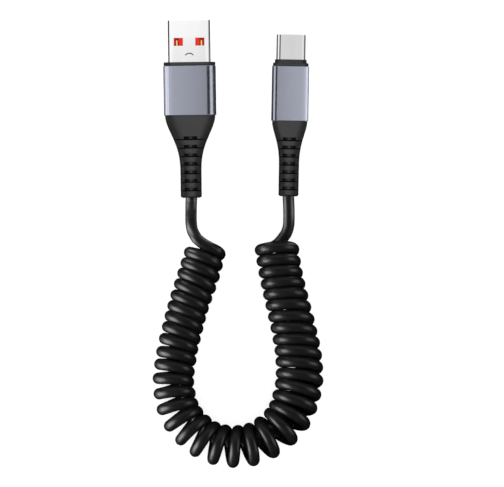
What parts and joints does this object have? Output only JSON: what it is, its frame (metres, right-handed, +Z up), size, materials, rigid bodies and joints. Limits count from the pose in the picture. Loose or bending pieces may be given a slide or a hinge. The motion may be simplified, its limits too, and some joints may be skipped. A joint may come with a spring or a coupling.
{
  "type": "coiled usb cable",
  "caption": "Curly charging cable laid in a U, with a USB-A plug and a USB-C plug, metal sleeves and ribbed strain reliefs.",
  "frame": {"origin": "bottom centre of the box round both plugs, on the surface that the cable lies on", "axes": "+Y is the way the plugs point, +Z is up from the surface, +X runs from the USB-A plug to the USB-C plug"},
  "size_m": [0.0487, 0.1276, 0.0137],
  "materials": {
    "bright_steel": "bright nickel-plated sheet steel",
    "satin_steel": "satin nickel-plated steel",
    "grey_aluminium": "fine satin, grey anodised, with a bluish cast",
    "black_plastic": "moulded, satin",
    "black_rubber": "moulded elastomer, satin",
    "orange_plastic": "moulded, half gloss",
    "gold_contact": "gold-plated contact metal",
    "cord_jacket": "black satin elastomer jacket"
  },
  "bodies": {
    "root": {"usb_a_shell": "bright_steel", "usb_a_tongue": "orange_plastic", "usb_a_contact_1": "gold_contact", "usb_a_contact_2": "gold_contact", "usb_a_contact_3": "gold_contact", "usb_a_contact_4": "gold_contact", "usb_a_inner_mould": "black_plastic", "usb_a_sleeve": "grey_aluminium", "usb_a_strain_relief": "black_rubber", "usb_c_shell": "satin_steel", "usb_c_insulator": "black_plastic", "usb_c_contact_upper_1": "gold_contact", "usb_c_contact_upper_2": "gold_contact", "usb_c_contact_upper_3": "gold_contact", "usb_c_contact_upper_4": "gold_contact", "usb_c_contact_upper_5": "gold_contact", "usb_c_contact_upper_6": "gold_contact", "usb_c_contact_upper_7": "gold_contact", "usb_c_contact_upper_8": "gold_contact", "usb_c_contact_upper_9": "gold_contact", "usb_c_contact_upper_10": "gold_contact", "usb_c_contact_upper_11": "gold_contact", "usb_c_contact_upper_12": "gold_contact", "usb_c_contact_lower_1": "gold_contact", "usb_c_contact_lower_2": "gold_contact", "usb_c_contact_lower_3": "gold_contact", "usb_c_contact_lower_4": "gold_contact", "usb_c_contact_lower_5": "gold_contact", "usb_c_contact_lower_6": "gold_contact", "usb_c_contact_lower_7": "gold_contact", "usb_c_contact_lower_8": "gold_contact", "usb_c_contact_lower_9": "gold_contact", "usb_c_contact_lower_10": "gold_contact", "usb_c_contact_lower_11": "gold_contact", "usb_c_contact_lower_12": "gold_contact", "usb_c_inner_mould": "black_plastic", "usb_c_sleeve": "grey_aluminium", "usb_c_strain_relief": "black_rubber", "cord_lead_a": "cord_jacket", "curly_cord": "cord_jacket", "cord_lead_c": "cord_jacket"}
  },
  "joints": []
}
